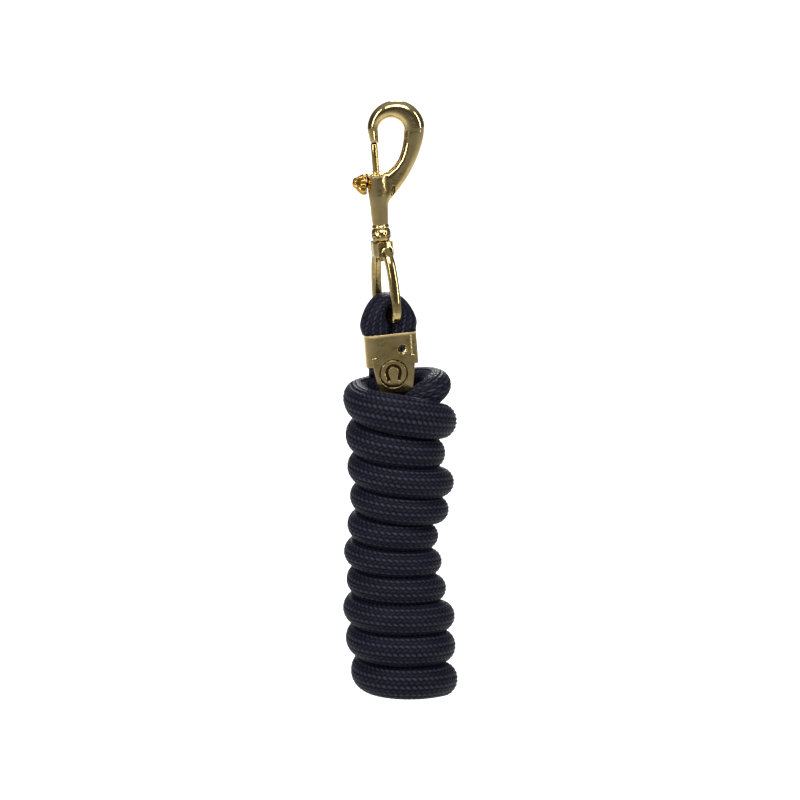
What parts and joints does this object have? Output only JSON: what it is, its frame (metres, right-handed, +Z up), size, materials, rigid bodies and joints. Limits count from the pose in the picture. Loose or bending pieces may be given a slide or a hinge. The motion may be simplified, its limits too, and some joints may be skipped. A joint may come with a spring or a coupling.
{
  "type": "lead rope",
  "caption": "Braided lead rope wound into a hank, its end folded through the swivel eye of a bolt snap and held by a stamped clamp.",
  "frame": {"origin": "centre of the hook's round bend, where the snap hangs", "axes": "+Z up, +Y to the back along the bend's axis, +X to the right seen from the front"},
  "size_m": [0.061, 0.061, 0.3426],
  "materials": {
    "plated_metal": "polished gold plating on a casting",
    "knob_metal": "polished, a warmer gold",
    "spring_steel": "drawn wire",
    "rope_yarn": "braided, slightly shiny navy yarn"
  },
  "bodies": {
    "snap": {"snap_body": "plated_metal", "swivel_stud": "plated_metal", "bolt_spring": "spring_steel"},
    "bolt": {"bolt": "plated_metal", "thumb_knob": "knob_metal"},
    "swivel": {"swivel_eye": "plated_metal"},
    "rope": {"rope_clamp": "plated_metal", "rope_eye": "rope_yarn", "rope_tail": "rope_yarn", "rope_hank": "rope_yarn"}
  },
  "joints": [
    {"name": "bolt_slide", "type": "slide", "parent": "snap", "child": "bolt", "axis": [0.0785, 0, -0.9969], "range_m": [0, 0.013], "stiffness_N_per_m": 400, "springref_m": -0.01, "deforming": ["bolt_spring"]},
    {"name": "swivel_spin", "type": "hinge", "parent": "snap", "child": "swivel", "pos_m": [-0.00463, 0, -0.07239], "axis": [-0.0785, 0, 0.9969], "continuous": true},
    {"name": "rope_swing", "type": "hinge", "parent": "swivel", "child": "rope", "pos_m": [-0.00207, 0, -0.10499], "axis": [0.4055, -0.9135, 0.0319], "range_deg": [-90, 90]}
  ]
}
